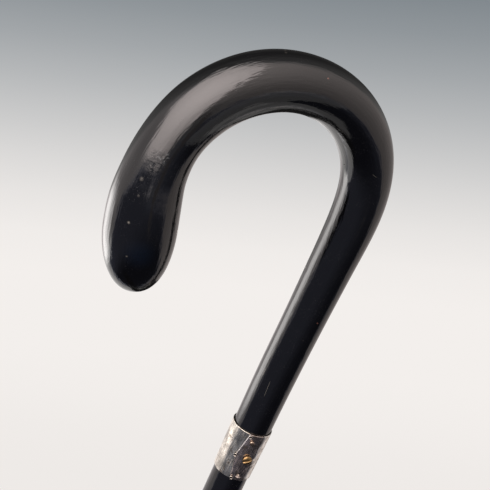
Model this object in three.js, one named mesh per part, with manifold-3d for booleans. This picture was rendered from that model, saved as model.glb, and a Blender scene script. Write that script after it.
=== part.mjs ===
// A bent-handle walking stick: a black-lacquered crook and tapering shaft, joined inside a silver collar,
// with a brass ferrule on an iron tip. Millimetres, +Z up. The origin is the middle of the tip's flat face,
// the shaft stands on +Z and the crook turns over towards -X in the XZ plane.
import * as THREE from 'three';
import { mergeVertices } from 'three/addons/utils/BufferGeometryUtils.js';
import Module from 'manifold-3d';

const wasm = await Module();
wasm.setup();

// Ferrule: an iron tip whose spigot goes up through the floor of a brass cone
const tipRadius = 5.6;
const tipThickness = 6;
const tipEdgeRound = 1.2;
const spigotRadius = 3;
const spigotLength = 14;
const ferruleLength = 38;
const ferruleBottomRadius = 6.4;
const ferruleTopRadius = 7.2;
const ferruleWall = 0.6;
const ferruleFloor = 1;
const beadHeight = 1.6;
const beadProud = 0.4;
const ferruleNail = { headRadius: 1.1, headHeight: 0.5, shankRadius: 0.6, shankLength: 3.6 };
const nailHeightShare = 0.8;

// Shaft, between the ferrule's mouth and the collar's lower edge
const shaftLength = 651;
const shaftFootRadius = 7;

// Collar: a cone rolled from sheet, whose outer end laps over the inner one and comes to a shallow point
const collarLength = 26.5;
const collarTopRadius = 9.8;
const collarBottomRadius = 9.35;
const collarWall = 0.5;
const lapThickness = 0.35;
const lapPointLength = 2.4;
const lapFadeLength = 11;
const lapEdgeWidth = 0.08;
const lapAngle = -118;

// Joint between handle and shaft, hidden by the collar: a steel dowel in two blind bores
const jointShare = 0.72;
const dowelRadius = 4;
const dowelLength = 58;
const dowelChamfer = 0.8;
const dowelEndGap = 1;

// Heads of all pins: the share of the height that is straight edge, and how far a cupped head's rim stands up
// and its middle sinks, as shares of the rest
const headEdgeShare = 0.33;
const cupRimShare = 0.5;
const cupSinkShare = 0.5;

// Pins of the collar: a place is a share of the collar's length below its top edge, and an angle round it
const stud = { headRadius: 2.3, headHeight: 1.2, shankRadius: 1, shankLength: 3.8 };
const pin = { headRadius: 1.1, headHeight: 0.55, shankRadius: 0.55, shankLength: 3.6 };
const brad = { headRadius: 0.85, headHeight: 0.4, shankRadius: 0.45, shankLength: 3.6, cupped: true };
const collarPins = [
  { name: 'collar_stud', size: stud, heightShare: 0.52, angle: -96, finish: 'brass' },
  { name: 'collar_pin', size: pin, heightShare: 0.155, angle: -103.8, finish: 'brass' },
  { name: 'collar_brad_top', size: brad, heightShare: 0.045, angle: -114.3, finish: 'silver' },
  { name: 'collar_brad_middle', size: brad, heightShare: 0.498, angle: -131, finish: 'silver' },
  { name: 'collar_brad_bottom', size: brad, heightShare: 0.962, angle: -115.4, finish: 'silver' },
];

// Crook: above the collar its centreline leans back a little, then it eases into a round bend and out again
const leanLength = 54;
const leanAngle = 1.5;
const straightLength = 91.1;
const easeInLength = 53.1;
const easeOutLength = 86.6;
const noseStraightLength = 3.6;
const bendRadius = 47.64;
const bendAngle = 196.6;
const knobRadius = 15.5;
const knobLength = 29.4;

// The crook swells from the collar to the knob: share of the way there, share of the growth in radius
const swellShares = [
  [0, 0], [0.1, 0.046], [0.2, 0.087], [0.3, 0.176], [0.385, 0.293], [0.47, 0.352], [0.55, 0.413],
  [0.636, 0.48], [0.72, 0.585], [0.8, 0.594], [0.862, 0.578], [0.911, 0.7], [0.958, 0.927], [1, 1],
];
// The knob's end is a rounded cap: one power sets how full its shoulder is, the other how flat its end is
const capShoulderPower = 2.38;
const capEndPower = 2;

// Clearances: metal over wood, pins in their holes, and the dowel in its bores
const seatClearance = 0.15;
const holeClearance = 0.15;
const dowelClearance = 0.1;
const overrun = 1;

// How finely the round forms are faceted
const handleSides = 32;
const bendSteps = 48;
const straightSteps = 8;
const capSteps = 11;
const shaftSides = 32;
const collarSides = 48;
const lapRows = 8;
const pinSides = 14;
const arcSteps = 5;
const centrelineSteps = 1200;

// Heights and radii that follow from the sizes above
const ferruleMouth = tipThickness + ferruleLength;
const collarBottom = ferruleMouth + shaftLength;
const collarTop = collarBottom + collarLength;
const jointDepth = collarLength * jointShare;
const jointHeight = collarTop - jointDepth;
const boreRadius = dowelRadius + dowelClearance;
const boreDepth = dowelLength / 2 + dowelEndGap;
const neckRadius = collarTopRadius - collarWall - seatClearance;
const shaftHeadRadius = collarBottomRadius - collarWall - seatClearance;
const jointRadius = THREE.MathUtils.lerp(neckRadius, shaftHeadRadius, jointShare);
const bendTurn = THREE.MathUtils.degToRad(bendAngle);
const roundBendLength = bendTurn * bendRadius - (easeInLength + easeOutLength) / 2;
const easeOutStart = straightLength + easeInLength + roundBendLength;
const handleLength = easeOutStart + easeOutLength + noseStraightLength;
const knobStation = handleLength - knobLength;

const finishes = {
  lacquer: { color: 0x0b0c0f, roughness: 0.22, metalness: 0 },
  silver: { color: 0xb9b6b4, roughness: 0.35, metalness: 1 },
  brass: { color: 0xb08a52, roughness: 0.3, metalness: 1 },
  steel: { color: 0x8d8f92, roughness: 0.45, metalness: 1 },
  iron: { color: 0x4b4a49, roughness: 0.6, metalness: 1 },
};
const materials = {};
for (const [name, finish] of Object.entries(finishes)) {
  materials[name] = new THREE.MeshStandardMaterial(finish);
}

const stick = new THREE.Group();

function addPiece(name, geometry, finish) {
  const mesh = new THREE.Mesh(geometry, materials[finish]);
  mesh.name = name;
  stick.add(mesh);
}

// A closed mesh with its shared corners merged, as a solid that can be cut
function toSolid(geometry) {
  const bare = geometry.clone();
  bare.deleteAttribute('normal');
  bare.deleteAttribute('uv');
  const merged = mergeVertices(bare);
  const corners = merged.index.array;
  const triangles = [];
  for (let i = 0; i < corners.length; i += 3) {
    const [a, b, c] = corners.slice(i, i + 3);
    if (a !== b && b !== c && c !== a) {
      triangles.push(a, b, c);
    }
  }
  const vertProperties = new Float32Array(merged.attributes.position.array);
  const triVerts = new Uint32Array(triangles);
  return new wasm.Manifold(new wasm.Mesh({ numProp: 3, vertProperties, triVerts }));
}

function toGeometry(solid) {
  const mesh = solid.getMesh();
  const geometry = new THREE.BufferGeometry();
  geometry.setAttribute('position', new THREE.BufferAttribute(mesh.vertProperties, 3));
  geometry.setIndex(new THREE.BufferAttribute(mesh.triVerts, 1));
  geometry.computeVertexNormals();
  return geometry;
}

function cut(geometry, cutters) {
  let solid = toSolid(geometry);
  for (const cutter of cutters) {
    solid = solid.subtract(toSolid(cutter));
  }
  return toGeometry(solid);
}

// A profile of [radius, height] points turned round the Z axis
function turned(profile, sides) {
  const points = profile.map(([radius, height]) => new THREE.Vector2(radius, height));
  return new THREE.LatheGeometry(points, sides).rotateX(Math.PI / 2);
}

// Points of a quarter-round edge on a profile, from one angle to another round its centre
function arc(radius, height, round, from, to) {
  const points = [];
  for (let i = 0; i <= arcSteps; i++) {
    const angle = from + (to - from) * i / arcSteps;
    points.push([radius + round * Math.cos(angle), height + round * Math.sin(angle)]);
  }
  return points;
}

// Smooth curve through a table of [place, value] pairs: cubic pieces, level at the last point
function through(table, place) {
  const last = table.length - 1;
  let i = 0;
  while (i < last - 1 && place > table[i + 1][0]) {
    i++;
  }
  const slope = (k) => {
    if (k === last) {
      return 0;
    }
    const before = table[Math.max(k - 1, 0)];
    const after = table[k + 1];
    return (after[1] - before[1]) / (after[0] - before[0]);
  };
  const [x0, y0] = table[i];
  const [x1, y1] = table[i + 1];
  const width = x1 - x0;
  const t = (place - x0) / width;
  const rise = y1 - y0;
  const bulge = t * (1 - t) * ((1 - t) * (slope(i) * width - rise) - t * (slope(i + 1) * width - rise));
  return y0 + t * rise + bulge;
}

// Area under the smooth step from 0 to t, which goes on at full height past 1
function easedArea(t) {
  if (t <= 0) {
    return 0;
  }
  return t < 1 ? t ** 3 - t ** 4 / 2 : t - 1 / 2;
}

// How far the centreline has turned at a station, in radians: it leans back, and the bend's curvature grows
// smoothly, holds and dies away
function turnAt(station) {
  const gained = easeInLength * easedArea((station - straightLength) / easeInLength);
  const lost = easeOutLength * easedArea((station - easeOutStart) / easeOutLength);
  const leant = THREE.MathUtils.degToRad(leanAngle) * THREE.MathUtils.smoothstep(station, 0, leanLength);
  return (gained - lost) / bendRadius - leant;
}

// Places along the centreline, summed in small steps from the collar's top edge
const centreline = [new THREE.Vector2(0, collarTop)];
for (let i = 0; i < centrelineSteps; i++) {
  const step = handleLength / centrelineSteps;
  const turn = turnAt((i + 1 / 2) * step);
  const next = new THREE.Vector2(-Math.sin(turn), Math.cos(turn));
  centreline.push(next.multiplyScalar(step).add(centreline[i]));
}

function centreAt(station) {
  if (station <= 0) {
    return new THREE.Vector2(0, collarTop + station);
  }
  const place = Math.min(station / handleLength, 1) * centrelineSteps;
  const i = Math.min(Math.floor(place), centrelineSteps - 1);
  return centreline[i].clone().lerp(centreline[i + 1], place - i);
}

// Carries a form made upright along Y onto the crook's centreline
function bend(geometry) {
  const position = geometry.attributes.position;
  for (let i = 0; i < position.count; i++) {
    const station = position.getY(i);
    const centre = centreAt(station);
    const turn = turnAt(station);
    const out = position.getX(i);
    position.setXYZ(i, centre.x + out * Math.cos(turn), -position.getZ(i), centre.y + out * Math.sin(turn));
  }
  geometry.computeVertexNormals();
  return geometry;
}

function handleRadius(station) {
  if (station > knobStation) {
    const t = Math.min((station - knobStation) / knobLength, 1);
    return knobRadius * (1 - t ** capEndPower) ** (1 / capShoulderPower);
  }
  return neckRadius + (knobRadius - neckRadius) * through(swellShares, station / knobStation);
}

// The collar's outer surface: the cone, raised past the leaf's edge and sinking back round it
function lapEdgeAngle(depth) {
  const middle = (collarTopRadius + collarBottomRadius) / 2;
  const pointShare = 1 - Math.abs(2 * depth / collarLength - 1);
  return THREE.MathUtils.degToRad(lapAngle) - pointShare * lapPointLength / middle;
}

function collarRadius(depth, arcFromEdge) {
  const cone = THREE.MathUtils.lerp(collarTopRadius, collarBottomRadius, depth / collarLength);
  const raised = 1 - Math.min(arcFromEdge / lapFadeLength, 1);
  return cone + lapThickness * raised * raised;
}

// A pin made along Z: a domed or cupped head over a round shank, with its head's underside at height 0
function pinGeometry(size) {
  const { headRadius, headHeight, shankRadius, shankLength, cupped } = size;
  const profile = [[0, -shankLength], [shankRadius, -shankLength], [shankRadius, 0], [headRadius, 0]];
  const edge = headHeight * headEdgeShare;
  for (let i = 0; i <= arcSteps; i++) {
    const t = i / arcSteps;
    const angle = t * Math.PI / 2;
    const cup = cupped ? cupRimShare * Math.sin(Math.PI * t * t) - cupSinkShare * t ** 3 : 0;
    profile.push([headRadius * Math.cos(angle), edge + (headHeight - edge) * (Math.sin(angle) + cup)]);
  }
  profile[profile.length - 1][0] = 0;
  return turned(profile, pinSides);
}

// Turns a pin made along Z so that it points outwards at an angle round the stick
function placePin(geometry, radius, angle, height) {
  const turn = THREE.MathUtils.degToRad(angle);
  geometry.rotateY(Math.PI / 2);
  geometry.translate(radius, 0, 0);
  geometry.rotateZ(turn);
  geometry.translate(0, 0, height);
  return geometry;
}

// The hole for a pin's shank, from outside its head to past its point
function pinHole(size, radius, angle, height) {
  const holeRadius = size.shankRadius + holeClearance;
  const profile = [
    [0, -size.shankLength - holeClearance],
    [holeRadius, -size.shankLength - holeClearance],
    [holeRadius, overrun],
    [0, overrun],
  ];
  return placePin(turned(profile, pinSides), radius, angle, height);
}

// Where the collar's pins stand: each head clears the band, the leaf and the cone's slope under it
const collarSlope = (collarTopRadius - collarBottomRadius) / collarLength;
const pinSeats = collarPins.map((entry) => {
  const depth = entry.heightShare * collarLength;
  const rise = entry.size.headRadius * collarSlope + holeClearance;
  return { ...entry, depth, height: collarTop - depth, radius: collarRadius(depth, 0) + rise };
});
const seatHoles = (seats) => seats.map((seat) => pinHole(seat.size, seat.radius, seat.angle, seat.height));

// Crook handle: the turned form with its seat, bore and cap, bent along the centreline
function handleGeometry() {
  const profile = [
    [0, boreDepth - jointDepth],
    [boreRadius, boreDepth - jointDepth],
    [boreRadius, -jointDepth],
    [jointRadius, -jointDepth],
  ];
  for (let i = 0; i <= straightSteps; i++) {
    const station = straightLength * i / straightSteps;
    profile.push([handleRadius(station), station]);
  }
  for (let i = 1; i <= bendSteps; i++) {
    const station = THREE.MathUtils.lerp(straightLength, knobStation, i / bendSteps);
    profile.push([handleRadius(station), station]);
  }
  for (let i = 1; i <= capSteps; i++) {
    const station = knobStation + knobLength * Math.sin(i / capSteps * Math.PI / 2);
    profile.push([handleRadius(station), station]);
  }
  profile[profile.length - 1][0] = 0;
  const points = profile.map(([radius, station]) => new THREE.Vector2(radius, station));
  return bend(new THREE.LatheGeometry(points, handleSides));
}

addPiece('crook_handle',
  cut(handleGeometry(), seatHoles(pinSeats.filter((seat) => seat.depth < jointDepth))), 'lacquer');

// Ferrule, from the tip upwards
const tenonFoot = tipThickness + ferruleFloor;
const spigotBore = spigotRadius + holeClearance;
const spigotTop = tipThickness + spigotLength;
const nailHeight = tipThickness + ferruleLength * nailHeightShare;
const ferruleOuter = (height) => (
  THREE.MathUtils.lerp(ferruleBottomRadius, ferruleTopRadius, (height - tipThickness) / ferruleLength));
const ferruleInner = (height) => ferruleOuter(height) - ferruleWall;
const ferruleSlope = (ferruleTopRadius - ferruleBottomRadius) / ferruleLength;
const nailRise = ferruleNail.headRadius * ferruleSlope + holeClearance;
const nailRadius = ferruleOuter(nailHeight) + nailRise;
const nailSeats = [
  { name: 'ferrule_nail_front', angle: -90 },
  { name: 'ferrule_nail_back', angle: 90 },
].map((entry) => ({ ...entry, size: ferruleNail, height: nailHeight, radius: nailRadius }));

// Shaft: tenon in the ferrule, long straight taper, cone under the collar, blind bore for the dowel
const shaftProfile = [
  [0, spigotTop + holeClearance],
  [spigotBore, spigotTop + holeClearance],
  [spigotBore, tenonFoot],
  [ferruleInner(tenonFoot) - seatClearance, tenonFoot],
  [ferruleInner(ferruleMouth) - seatClearance, ferruleMouth],
  [shaftFootRadius, ferruleMouth],
  [shaftHeadRadius, collarBottom],
  [jointRadius, jointHeight],
  [boreRadius, jointHeight],
  [boreRadius, jointHeight - boreDepth],
  [0, jointHeight - boreDepth],
];
const shaftHoles = [...pinSeats.filter((seat) => seat.depth > jointDepth), ...nailSeats];
addPiece('shaft', cut(turned(shaftProfile, shaftSides), seatHoles(shaftHoles)), 'lacquer');

// Dowel with chamfered ends, half in the handle and half in the shaft
const dowelBottom = jointHeight - dowelLength / 2;
const dowelTop = jointHeight + dowelLength / 2;
addPiece('joint_dowel', turned([
  [0, dowelBottom],
  [dowelRadius - dowelChamfer, dowelBottom],
  [dowelRadius, dowelBottom + dowelChamfer],
  [dowelRadius, dowelTop - dowelChamfer],
  [dowelRadius - dowelChamfer, dowelTop],
  [0, dowelTop],
], shaftSides), 'steel');

// Collar: rows of corners down the outside and up the inside, each row starting at the leaf's edge
function collarGeometry() {
  const rows = [];
  const row = (depth, radiusAt) => {
    const corners = [];
    const sweep = 2 * Math.PI - lapEdgeWidth / collarTopRadius;
    for (let i = 0; i < collarSides; i++) {
      const around = sweep * i / (collarSides - 1);
      const angle = lapEdgeAngle(depth) + around;
      const radius = radiusAt(depth, around * collarTopRadius);
      corners.push([radius * Math.cos(angle), radius * Math.sin(angle), collarTop - depth]);
    }
    rows.push(corners);
  };
  for (let i = 0; i <= lapRows; i++) {
    row(collarLength * i / lapRows, collarRadius);
  }
  for (let i = lapRows; i >= 0; i--) {
    row(collarLength * i / lapRows, (depth) => collarRadius(depth, lapFadeLength) - collarWall);
  }
  const index = [];
  for (let i = 0; i < rows.length; i++) {
    const next = (i + 1) % rows.length;
    for (let j = 0; j < collarSides; j++) {
      const beside = (j + 1) % collarSides;
      const [a, b] = [i * collarSides + j, i * collarSides + beside];
      const [c, d] = [next * collarSides + j, next * collarSides + beside];
      index.push(a, c, b, b, c, d);
    }
  }
  const geometry = new THREE.BufferGeometry();
  geometry.setAttribute('position', new THREE.Float32BufferAttribute(rows.flat(2), 3));
  geometry.setIndex(index);
  geometry.computeVertexNormals();
  return geometry;
}

addPiece('collar', cut(collarGeometry(), seatHoles(pinSeats)), 'silver');
for (const seat of pinSeats) {
  const geometry = placePin(pinGeometry(seat.size), seat.radius, seat.angle, seat.height);
  addPiece(seat.name, geometry, seat.finish);
}

// Ferrule shell: floor with the spigot's hole, tapering wall, and a rounded bead round its mouth
const beadMiddle = ferruleMouth - beadHeight / 2;
const bead = [];
for (let i = 0; i <= arcSteps; i++) {
  const angle = Math.PI * (i / arcSteps - 1 / 2);
  const height = beadMiddle + Math.sin(angle) * beadHeight / 2;
  bead.push([ferruleOuter(height) + beadProud * Math.cos(angle), height]);
}
const shellProfile = [
  [spigotBore, tipThickness],
  [ferruleBottomRadius, tipThickness],
  ...bead,
  [ferruleInner(ferruleMouth), ferruleMouth],
  [ferruleInner(tenonFoot), tenonFoot],
  [spigotBore, tenonFoot],
  [spigotBore, tipThickness],
];
addPiece('ferrule_shell', cut(turned(shellProfile, shaftSides), seatHoles(nailSeats)), 'brass');
for (const seat of nailSeats) {
  addPiece(seat.name, placePin(pinGeometry(seat.size), seat.radius, seat.angle, seat.height), 'brass');
}

// Iron tip: flat worn face, rounded edge, and the spigot
addPiece('ferrule_tip', turned([
  [0, 0],
  ...arc(tipRadius - tipEdgeRound, tipEdgeRound, tipEdgeRound, -Math.PI / 2, 0),
  [tipRadius, tipThickness],
  [spigotRadius, tipThickness],
  [spigotRadius, spigotTop],
  [0, spigotTop],
], shaftSides), 'iron');

export default stick;
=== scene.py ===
# A bent-handle walking stick in black lacquer with a silver collar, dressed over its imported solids.
# Metres, +Z up the shaft. The crook turns over towards -X, and the camera looks at it from -Y.
import math

import bpy
import numpy as np
from mathutils import Matrix, Vector


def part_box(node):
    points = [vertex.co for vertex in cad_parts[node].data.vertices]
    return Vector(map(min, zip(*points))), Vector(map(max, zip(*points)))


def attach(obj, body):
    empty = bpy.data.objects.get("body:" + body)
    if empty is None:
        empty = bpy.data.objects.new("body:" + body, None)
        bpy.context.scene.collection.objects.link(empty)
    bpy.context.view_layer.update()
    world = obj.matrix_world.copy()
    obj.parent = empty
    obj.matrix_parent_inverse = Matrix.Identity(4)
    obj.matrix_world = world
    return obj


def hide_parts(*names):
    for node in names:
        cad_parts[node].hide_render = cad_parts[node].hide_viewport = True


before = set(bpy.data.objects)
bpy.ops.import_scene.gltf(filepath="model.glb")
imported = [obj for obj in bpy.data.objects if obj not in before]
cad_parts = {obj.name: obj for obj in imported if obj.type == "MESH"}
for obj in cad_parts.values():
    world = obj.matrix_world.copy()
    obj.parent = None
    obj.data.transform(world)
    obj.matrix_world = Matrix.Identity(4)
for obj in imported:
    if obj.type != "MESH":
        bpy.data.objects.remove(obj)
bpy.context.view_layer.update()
print("frame loaded:", len(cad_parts), "solids")

scene = bpy.context.scene
mm = 0.001
sharpAngle = 38     # degrees between two faces from which the edge between them stays sharp
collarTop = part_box("collar")[1][2]


# Adds an object to the scene
def stand(name, data):
    piece = bpy.data.objects.new(name, data)
    scene.collection.objects.link(piece)
    return piece


# How far a place lies on the left of the line from one place to another
def leftOf(start, end, x, y):
    dx, dy = end[0] - start[0], end[1] - start[1]
    length = math.hypot(dx, dy)
    return (y - start[1]) * (dx / length) - (x - start[0]) * (dy / length)


class Tint:
    # wraps a node's output, so that shader maths reads as plain arithmetic
    def __init__(self, recipe, socket):
        self.recipe = recipe
        self.socket = socket

    def work(self, operation, *values):
        return self.recipe.node("ShaderNodeMath", {"operation": operation}, dict(enumerate(values)))

    def __add__(self, other):
        return self.work("ADD", self, other)

    def __sub__(self, other):
        return self.work("SUBTRACT", self, other)

    def __rsub__(self, other):
        return self.work("SUBTRACT", other, self)

    def __mul__(self, other):
        return self.work("MULTIPLY", self, other)

    def __pow__(self, other):
        return self.work("POWER", self, other)

    __radd__ = __add__
    __rmul__ = __mul__

    def most(self, other):
        return self.work("MAXIMUM", self, other)

    # 0 below low, 1 above high, smooth in between, and the other way round where low is the larger one
    def step(self, low, high):
        if low > high:
            return 1 - self.step(high, low)
        return self.recipe.node("ShaderNodeMapRange", {"interpolation_type": "SMOOTHSTEP"},
                                {"Value": self, "From Min": low, "From Max": high})


class Recipe:
    # a node tree that is filled by expressions
    def __init__(self, tree):
        self.tree = tree
        tree.nodes.clear()

    # a node of a type, with its settings first and then the values or links of its sockets
    def node(self, kind, settings=None, inputs=None, output=0):
        made = self.tree.nodes.new(kind)
        for name, value in (settings or {}).items():
            if name == "stops":
                fillRamp(made.color_ramp, value)
            else:
                setattr(made, name, value)
        for name, value in (inputs or {}).items():
            if isinstance(value, Tint):
                self.tree.links.new(value.socket, made.inputs[name])
            else:
                made.inputs[name].default_value = value
        return Tint(self, made.outputs[output]) if len(made.outputs) else made

    def mix(self, amount, first, second):
        return self.node("ShaderNodeMix", {"data_type": "RGBA"}, {0: amount, 6: first, 7: second}, 2)

    def vector(self, operation, first, second=(0, 0, 0), output=0):
        return self.node("ShaderNodeVectorMath", {"operation": operation}, {0: first, 1: second}, output)

    def dot(self, vector, direction):
        return self.vector("DOT_PRODUCT", vector, direction, 1)

    def length(self, vector):
        return self.vector("LENGTH", vector, output=1)

    def noise(self, place, scale, detail):
        return self.node("ShaderNodeTexNoise", {}, {"Vector": place, "Scale": scale, "Detail": detail})

    # the piece's own coordinates, which run straight along it
    def straight(self):
        return self.node("ShaderNodeAttribute", {"attribute_name": "straight"}, output="Vector")

    def bump(self, height, strength, distance):
        return self.node("ShaderNodeBump", {}, {"Height": height, "Strength": strength, "Distance": distance})

    # the last two nodes: a shader with its sockets, and the tree's output
    def surface(self, kind, sockets, output="ShaderNodeOutputMaterial"):
        self.node(output, {}, {"Surface": self.node(kind, {}, sockets)})


def fillRamp(ramp, stops):
    while len(ramp.elements) > 1:
        ramp.elements.remove(ramp.elements[-1])
    for i, (place, color) in enumerate(stops):
        element = ramp.elements[0] if i == 0 else ramp.elements.new(place)
        element.position = place
        element.color = color


# A sum of layers, each times its weight
def weighed(weights, layers, total=0.0):
    for name, weight in weights.items():
        total = layers[name] * weight + total
    return total


# 0 up to one place, 1 from another one on, and a smooth step in between
def smooth(value, start, end):
    t = np.clip((value - start) / (end - start), 0, 1)
    return t * t * (3 - 2 * t)


# A colour as a screen shows it, 0 to 255, turned into the light values that Blender works with
def fromScreen(color):
    values = np.array(color) / 255
    return (*np.where(values <= 0.04045, values / 12.92, ((values + 0.055) / 1.055) ** 2.4), 1.0)


view = {
    "azimuth": -29.589, "elevation": 22.237, "roll": 23.667,     # degrees
    "distance": 535.597, "target": (-42.941, 0.0, 90.586),       # mm, the target from the collar's top
    "lens": 91.763, "sensor": 36,
    "clip": (0.01, 50),                                          # m
}


def aimCamera():
    a, e = math.radians(view["azimuth"]), math.radians(view["elevation"])
    back = Vector((math.sin(a) * math.cos(e), -math.cos(a) * math.cos(e), math.sin(e)))
    roll = Matrix.Rotation(math.radians(view["roll"]), 3, "Z")
    turn = (-back).to_track_quat("-Z", "Y").to_matrix() @ roll
    data = bpy.data.cameras.new("camera")
    data.lens = view["lens"]
    data.sensor_width = view["sensor"]
    data.clip_start, data.clip_end = view["clip"]
    camera = stand("camera", data)
    camera.location = Vector(view["target"]) * mm + Vector((0, 0, collarTop)) + back * view["distance"] * mm
    camera.rotation_mode = "QUATERNION"
    camera.rotation_quaternion = turn.to_quaternion()
    scene.camera = camera
    return turn.col[0].copy(), turn.col[1].copy(), turn.col[2].copy()


right, up, back = aimCamera()
scene.view_settings.view_transform = "Standard"
print("camera placed, right", [round(v, 4) for v in right], "up", [round(v, 4) for v in up])

pale, warm = (1.03, 1.0, 0.98, 1), (1.03, 1.0, 0.97, 1)     # tones of light
# The studio is a map of directions round the stick. Its middle is the side that the camera is on, its rim the
# side behind the stick, and areas are kept equal. Places in it are (right, up), and levels are brightness.
# Zones are laid one over the other in this order. A pair is where something starts and where it is full. As
# edge, left, right, top, bottom or reach it is a limit and the width over which it fades, and a line is two
# places and such a width.
studio = {
    "right": {"low": 0.547, "gain": 1.076, "rise": (-0.403, 0.3), "near": 1.58, "slope": 1.69,
              "dim": 0.16, "dimmed": (0.84, 0.97), "tone": (1.12, 1.0, 0.96, 1)},
    "left": {"level": 0.96, "glow": 0.3, "glowing": (-0.626, -0.446), "over": (-0.4, 0.1),
             "tone": (1.08, 1.0, 0.99, 1)},
    "behind": {"level": 1.25, "dark": 0.5, "darkened": (-0.33, -0.15), "down": (-0.1, -0.3),
               "across": (0.35, 0.1), "tone": pale},
    "under": {"reach": (0.925, 0.03), "top": (-0.6, 0.1), "left": (-0.16, 0.2), "right": (0.55, 0.08),
              "level": 0.03},
    "ceiling": {"edge": (0.549, 0.15), "middle": -0.044, "bow": 0.338, "level": 0.07, "glow": 0.38,
                "glowing": (0.875, 0.527), "tone": pale},
    "room": {"low": 0.04, "high": 0.19, "rise": (-0.6, -0.36), "tilt": 0.063, "haze": 0.06,
             "hazeFrom": (-0.05, 0.15), "hazeDown": (-0.42, -0.35), "reach": (0.87, 0.04),
             "right": (0.563, 0.07), "left": ((-0.773, -0.367), (-0.628, -0.051), 0.08),
             "top": [((-0.65, -0.05), (-0.42, -0.095), 0.07), ((-0.42, -0.095), (0.05, -0.335), 0.06),
                     ((0.05, -0.335), (0.29, -0.37), 0.1), ((0.29, -0.37), (0.62, -0.37), 0.05)],
             "lastFrom": (0.24, 0.34), "tone": (0.95, 1.0, 1.3, 1)},
    "shade": {"left": ((-0.375, -0.66), (-0.125, -1.0), 0.05), "right": ((0.1, -1.0), (-0.22, -0.68), 0.1),
              "far": (0.7, 0.76), "level": 0.03},
    "gap": {"left": (0.13, 0.05), "right": (0.2, 0.05), "top": (-0.25, 0.1), "bottom": (-0.47, 0.04),
            "middle": -0.3, "lean": 0.25, "level": 0.24},
    "softbox": {"level": 6.4, "middle": (-0.13, 0.203), "fall": 2.69, "left": (-0.476, 0.08),
                "corners": [(-0.439, -0.027), (0.031, -0.321), (0.192, 0.229), (0.227, 0.423)], "soft": 0.05,
                "top": (0.598, 0.12), "topMiddle": -0.092, "topBow": 1.72, "tone": (1.12, 1.0, 0.97, 1)},
}
# What the camera itself sees behind the stick: a plain sweep in screen colours, which turns from a pale tone
# to a grey one. Heights in it are the upward parts of directions.
sweep = {
    "near": (238, 234, 231), "middle": (243, 239, 236), "grey": (109, 118, 125), "lean": 0.1, "stops": 14,
    "bottom": -0.188, "top": 0.21, "nearing": (-0.09, -0.19), "greying": (-0.034, 0.288),
}


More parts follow.
